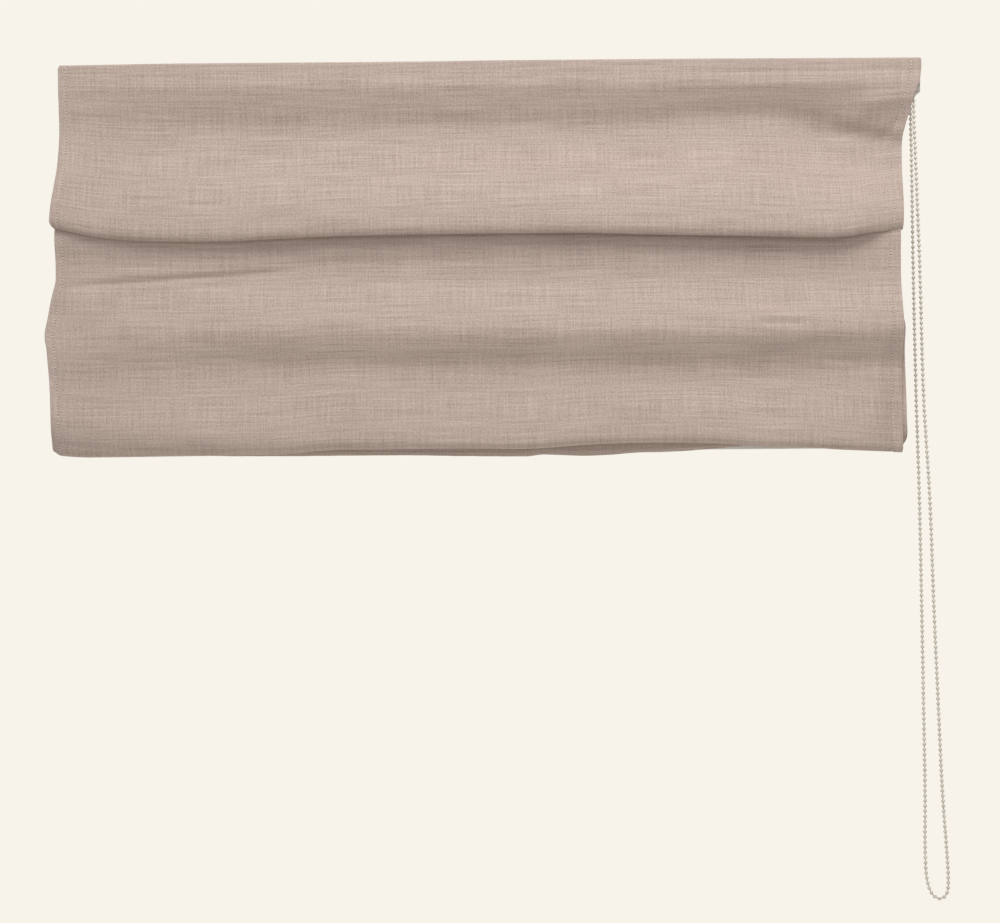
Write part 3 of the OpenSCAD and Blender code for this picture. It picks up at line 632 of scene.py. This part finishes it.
def build_cloth():
    """The whole cloth as one grid: its middle surface, face normals, places in the weave and spans."""
    spans = cloth_control(hang_left + columns * (hang_right - hang_left))
    path = smooth_path(np.concatenate(spans))
    ends = np.cumsum([len(span) for span in spans]) - 1
    starts = np.concatenate([[0], ends[:-1]])
    rows, places, bounds_of = [], [], [0]
    passed = 0.0
    for number, (a, b) in enumerate(zip(starts, ends)):
        leg = path[a * PATH_STEPS:b * PATH_STEPS + 1]
        run = along(leg)
        count = int(round(run[-1].mean() / row_gap[number])) + 1
        share = np.linspace(0, 1, count)
        y, z = spread_evenly(leg, run, share)
        left, right = (edge(share)[:, None] * MM for edge in edges[number])
        x = left + columns * (right - left)
        s = passed + share[:, None] * run[-1].mean() + 0 * x
        middle = np.stack([x, y, z], -1)
        out = surface_normals(middle)
        relief = front_relief(number, x, z, s, share[:, None] + 0 * x)
        relief += hem_relief(x, left, right)
        middle = middle + out * relief[..., None]
        skip = 1 if number else 0
        rows.append(middle[skip:])
        places.append(np.stack([x, s], -1)[skip:])
        passed += run[-1].mean()
        bounds_of.append(bounds_of[-1] + count - 1)
    middle = np.concatenate(rows)
    return middle, surface_normals(middle), np.concatenate(places), bounds_of


cloth, cloth_normals, cloth_places, span_rows = build_cloth()


def span_piece(number):
    """One span of the cloth as a closed sheet of even thickness."""
    rows = slice(span_rows[number], span_rows[number + 1] + 1)
    middle, out, place = cloth[rows], cloth_normals[rows], cloth_places[rows]
    count, across = middle.shape[:2]
    face = (middle + out * cloth_t / 2).reshape(-1, 3)
    back = (middle - out * cloth_t / 2).reshape(-1, 3)
    border = ring_of(count, across)
    following = np.roll(border, -1)
    rim = np.stack([border, following, following + len(face), border + len(face)], -1)
    faces = np.concatenate([grid_faces(count, across), grid_faces(count, across, len(face), True), rim])
    return new_mesh(span_names[number], np.concatenate([face, back]), faces, cloth_look,
                    np.tile(place.reshape(-1, 2), (2, 1)))


def tie_to_bodies(number, piece):
    """Lets a piece of a span move with its body; a piece between two bodies only has its transform baked in
    and moves with neither.
    """
    bodies = span_bodies[number]
    if len(bodies) == 1:
        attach(piece, bodies[0])
        return
    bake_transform(piece)


def finish_span(number, piece, trims):
    tie_to_bodies(number, piece)
    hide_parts("fabric_panel")


# Seams: light threads, and between them short dark tubes of painted shade, as (look, start within the
# stitch, length, radius, rise of the middle)
stitch_pitch = 3.6 * MM
seam_kinds = {
    "stitches": (stitch_look, 0, 2.3 * MM, 0.6 * MM, 0.25 * MM),
    # painted shade: a dark tube sunk between two stitches, where the seam's shadow falls
    "painted_stitch_shades": (stitch_shade_look, 2.5 * MM, 0.9 * MM, 0.5 * MM, -0.05 * MM),
}
# Points of a thread along its length, and how far each is lifted, as shares
thread_steps = np.array([0, 0.15, 0.5, 0.85, 1])
thread_lift = np.array([-1.0, 0.2, 1.0, 0.2, -1.0])
thread_sides = 5
thread_gap = 0.05 * MM


def seam_row(number, column_at, side, begin, length, thick, arch):
    """Points and faces of short threads, or of dark tubes of painted shade, down one seam of a span, one to
    each stitch. side is 1 on the cloth's face and -1 on its back, begin is where in the stitch a thread
    starts, arch lifts its middle."""
    rows = slice(span_rows[number], span_rows[number + 1] + 1)
    middle, out = cloth[rows], cloth_normals[rows] * side
    column = int(np.argmin(np.abs(columns - column_at)))
    line = middle[:, column] + out[:, column] * (cloth_t / 2 + thread_gap)
    run = along(line)
    lift = np.repeat(thread_lift * arch, thread_sides)[:, None]
    points, faces = [], []
    for start in np.arange(stitch_pitch, run[-1] - 2 * stitch_pitch, stitch_pitch):
        at = start + begin + length * thread_steps
        path = np.stack([np.interp(at, run, line[:, k]) for k in range(3)], -1)
        ring, ring_faces = swept_tube(path, thick, thread_sides, sum(len(p) for p in points))
        nearest = int(np.argmin(np.abs(run - start)))
        points.append(ring + lift * out[nearest, column])
        faces += ring_faces
    return np.concatenate(points), faces


def add_seams(number, kind):
    """The threads, or the dark tubes of painted shade between them, down both side seams of a span, on face
    and back, as one piece.
    """
    look, begin, length, thick, arch = seam_kinds[kind]
    points, faces = [], []
    for at in (left_hem / header_width, 1 - right_hem / header_width):
        for side in (1, -1):
            first = sum(len(p) for p in points)
            row, row_faces = seam_row(number, at, side, begin, length, thick, arch)
            points.append(row)
            faces += [[i + first for i in face] for face in row_faces]
    seams = new_mesh(f"{span_names[number]}_{kind}", np.concatenate(points), faces, look)
    tie_to_bodies(number, seams)
    return seams


cloth_pieces = [span_piece(number) for number in range(len(span_names))]
for number, piece in enumerate(cloth_pieces):
    finish_span(number, piece, [add_seams(number, kind) for kind in seam_kinds])


# Rod sleeves: each rod lies in a tube of the same cloth, sewn along the crest of its fold

sleeve_rings = 170
sleeve_sides = 24
sleeve_play = 0.05 * MM
sleeve_wall = 0.55 * MM
sleeve_weave_shift = 0.1
slack_waves = (0.009, 0.016, 0.031, 0.05)


def sleeve_faces():
    """Quads of an outer and an inner tube, which are numbered one after the other, and of their ends."""
    faces = []

    def add_quad(a, b, step, flip):
        quad = (a, a + step, b + step, b)
        faces.append(quad[::-1] if flip else quad)

    shell = sleeve_rings * sleeve_sides
    for first, flip in ((0, False), (shell, True)):
        for ring in range(sleeve_rings - 1):
            start = first + ring * sleeve_sides
            for k in range(sleeve_sides):
                add_quad(start + k, start + (k + 1) % sleeve_sides, sleeve_sides, flip)
    for end, flip in ((0, True), (shell - sleeve_sides, False)):
        for k in range(sleeve_sides):
            add_quad(end + k, end + (k + 1) % sleeve_sides, shell, flip)
    return faces


def add_sleeve(number):
    node = f"rod_pocket_{number}"
    low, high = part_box(node)
    y, z = rod_y, rod_z[number - 1]
    x = np.linspace(low[0], high[0], sleeve_rings)[:, None]
    turn = np.linspace(0, 2 * np.pi, sleeve_sides + 1)[:-1]
    draw = np.random.default_rng(number)
    slack = 0
    for wave in slack_waves:
        size = draw.uniform(0.3, 1)
        turns = draw.integers(1, 4)
        phase = draw.uniform(0, 6)
        slack = slack + size * np.sin(x / wave + turns * turn + phase)
    outer = pocket_r - sleeve_play + sleeve_play * slack
    shells = []
    for radius in (outer, outer - sleeve_wall):
        ring = np.stack([x + 0 * turn, y + radius * np.cos(turn), z + radius * np.sin(turn)], -1)
        shells.append(ring.reshape(-1, 3))
    shift = sleeve_weave_shift * number
    around = np.stack([x + 0 * turn, pocket_r * turn + 0 * x + shift], -1).reshape(-1, 2)
    sleeve = new_mesh(f"rod_sleeve_{number}", np.concatenate(shells), sleeve_faces(), cloth_look,
                      np.tile(around, (2, 1)))
    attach(sleeve, f"rod_{number}")
    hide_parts(node)


for number in (1, 2, 3):
    add_sleeve(number)


# Lift cords: each runs from its drum through a ring on every rod to the tie on the lowest rod

cord_low, cord_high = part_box("lift_cord_left")
cord_r = (cord_high[0] - cord_low[0]) / 2
cord_rings = 24
cord_sides = 10


def cord_stretch(name, x, y, ends):
    """One stretch of a lift cord between two bodies, as a straight tube with its transform baked in; it
    moves with no body.
    """
    heights = np.linspace(ends[0], ends[1], cord_rings)
    path = np.stack([np.full(cord_rings, x), np.full(cord_rings, y), heights], -1)
    points, faces = swept_tube(path, cord_r, cord_sides)
    stretch = new_mesh(name, points, faces, cord_look)
    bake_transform(stretch)
    return stretch


def add_lift_cord(side):
    node = "lift_cord_" + side
    low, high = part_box(node)
    x, y = middle_of(node, 0), middle_of(node, 1)
    stops = [(high[2], rail_bottom), (rod_z[0], rod_z[0]), (rod_z[1], rod_z[1]), (low[2], rod_z[2])]
    for i in range(3):
        stretch = cord_stretch(f"{node}_{i + 1}", x, y, (stops[i][0], stops[i + 1][0]))
        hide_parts(node)


for side in ("left", "middle", "right"):
    add_lift_cord(side)


# Bead chain: its route as (x from the wheel's plane, y, z) in millimetres

chain_route = [
    (0, 9.5, -28.5), (0, 9.5, -60), (1, 9.2, -140), (1.5, 8.8, -230), (4, 8.4, -400),
    (6.5, 7.6, -510), (8, 6.6, -635), (9, 5, -750), (9.5, 2.6, -860), (9, 1.2, -933),
    (10.4, 0.4, -956), (14.5, 0, -970.7), (19.1, 0, -976.6), (25, 0, -979.3), (30.6, 0, -977.3),
    (34.2, 0, -970.9), (35.2, -0.4, -956), (34.1, -1.2, -933), (32.5, -1.7, -910), (29, -2.6, -860),
    (24, -5, -750), (19.5, -6.6, -635), (15.5, -7.6, -510), (9.5, -8.4, -400), (5.5, -8.8, -230),
    (2.5, -9.2, -140), (0, -9.5, -60), (0, -9.5, -28.5),
]
bead_d = 4.5 * MM
bead_pitch = 6 * MM
bead_rings = 7
bead_sides = 12
chain_thread_r = 0.8 * MM
chain_thread_sides = 6


def bead():
    """Points and faces of one round bead of radius 1 about the origin."""
    rings, sides = bead_rings, bead_sides
    points = [(0, 0, 1)]
    for i in range(1, rings):
        lean = math.pi * i / rings
        across = math.sin(lean)
        for k in range(sides):
            turn = 2 * math.pi * k / sides
            points.append((across * math.cos(turn), across * math.sin(turn), math.cos(lean)))
    points.append((0, 0, -1))
    faces = [(0, 1 + k, 1 + (k + 1) % sides) for k in range(sides)]
    for i in range(rings - 2):
        for k in range(sides):
            a, b = 1 + i * sides + k, 1 + i * sides + (k + 1) % sides
            faces.append((a, a + sides, b + sides, b))
    last = len(points) - 1
    faces += [(last, last - sides + (k + 1) % sides, last - sides + k) for k in range(sides)]
    return np.array(points), faces


def build_chain():
    path = smooth_path(np.array(chain_route) * MM + [middle_of("wheel_beads", 0), 0, 0])
    run = along(path)
    count = int(run[-1] / bead_pitch)
    at = bead_pitch * (0.5 + np.arange(count))
    places = np.stack([np.interp(at, run, path[:, k]) for k in range(3)], -1)
    ball, ball_faces = bead()
    thread, faces = swept_tube(path, chain_thread_r, chain_thread_sides)
    points = [thread]
    total = len(thread)
    for place in places:
        points.append(place + ball * bead_d / 2)
        faces += [tuple(total + i for i in face) for face in ball_faces]
        total += len(ball)
    chain = new_mesh("bead_chain_loop", np.concatenate(points), faces, bead_look)
    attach(chain, "headrail")
    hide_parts("bead_chain")


build_chain()


# Stage, light and camera

floor_z = -1.75
floor_y = 0.6
floor_scale = (5, 3.4, 1)
ground_lamp_z = floor_z + 0.13
sky_colour = (1.0, 0.985, 0.96, 1)
sky_strength = 0.25
backdrop = (*linear(247, 243, 234), 1)
camera_place = (0.009, -2.4, -0.465)
camera_tilt = math.radians(0.45)
camera_sensor, camera_lens = 36, 74


def add_floor():
    bpy.ops.mesh.primitive_plane_add(size=1, location=(0, floor_y, floor_z))
    floor = bpy.context.object
    floor.name = "floor"
    floor.scale = floor_scale
    n = Nodes("pale_floor")
    speck = n.noise(n.object_place(), 30.0)
    colour = n.ramp(speck, (0.3, linear(236, 232, 224)), (0.7, linear(242, 238, 230)))
    n.set(Base_Color=colour, Roughness=0.9)
    floor.data.materials.append(n.material)


def direction(place, target):
    """Rotation that points an object's -Z axis from place to target."""
    return (Vector(target) - Vector(place)).to_track_quat("-Z", "Y").to_euler()


def add_lamp(name, place, target, size, power):
    lamp = bpy.data.lights.new(name, "AREA")
    lamp.shape = "RECTANGLE"
    lamp.size, lamp.size_y = size
    lamp.energy = power
    holder = bpy.data.objects.new(name, lamp)
    bpy.context.scene.collection.objects.link(holder)
    holder.location = place
    holder.rotation_euler = direction(place, target)


def add_world():
    """Soft light from all round, with a plain backdrop where the camera sees the world."""
    world = bpy.data.worlds.new("studio")
    bpy.context.scene.world = world
    world.use_nodes = True
    tree = world.node_tree
    tree.nodes.clear()
    output = tree.nodes.new("ShaderNodeOutputWorld")
    mix = tree.nodes.new("ShaderNodeMixShader")
    light = tree.nodes.new("ShaderNodeBackground")
    seen = tree.nodes.new("ShaderNodeBackground")
    light.inputs["Color"].default_value = sky_colour
    light.inputs["Strength"].default_value = sky_strength
    seen.inputs["Color"].default_value = backdrop
    rays = tree.nodes.new("ShaderNodeLightPath")
    either = rays.outputs["Is Camera Ray"]
    for name in ("Is Glossy Ray", "Is Transmission Ray"):
        join = tree.nodes.new("ShaderNodeMath")
        join.operation = "MAXIMUM"
        tree.links.new(either, join.inputs[0])
        tree.links.new(rays.outputs[name], join.inputs[1])
        either = join.outputs["Value"]
    tree.links.new(either, mix.inputs["Fac"])
    tree.links.new(light.outputs["Background"], mix.inputs[1])
    tree.links.new(seen.outputs["Background"], mix.inputs[2])
    tree.links.new(mix.outputs["Shader"], output.inputs["Surface"])


def add_camera():
    camera = bpy.data.cameras.new("camera")
    camera.sensor_width = camera_sensor
    camera.lens = camera_lens
    holder = bpy.data.objects.new("camera", camera)
    bpy.context.scene.collection.objects.link(holder)
    holder.location = camera_place
    holder.rotation_euler = (math.radians(90), camera_tilt, 0)
    bpy.context.scene.camera = holder


add_floor()
add_world()
add_lamp("key", place=(0.25, -1.25, 1.55), target=(0.05, 0, -0.25), size=(2.4, 1.2), power=42)
add_lamp("fill", place=(0.4, -3.2, -0.3), target=(0, 0, -0.35), size=(3.0, 2.4), power=29)
add_lamp("back", place=(0.2, 2.3, 0.3), target=(0, 0, -0.4), size=(2.6, 1.8), power=28)
add_lamp("ground", place=(0, floor_y, ground_lamp_z), target=(0, floor_y, floor_z), size=(4.9, 3.3),
         power=12)
add_camera()
bpy.context.scene.view_settings.view_transform = "Standard"
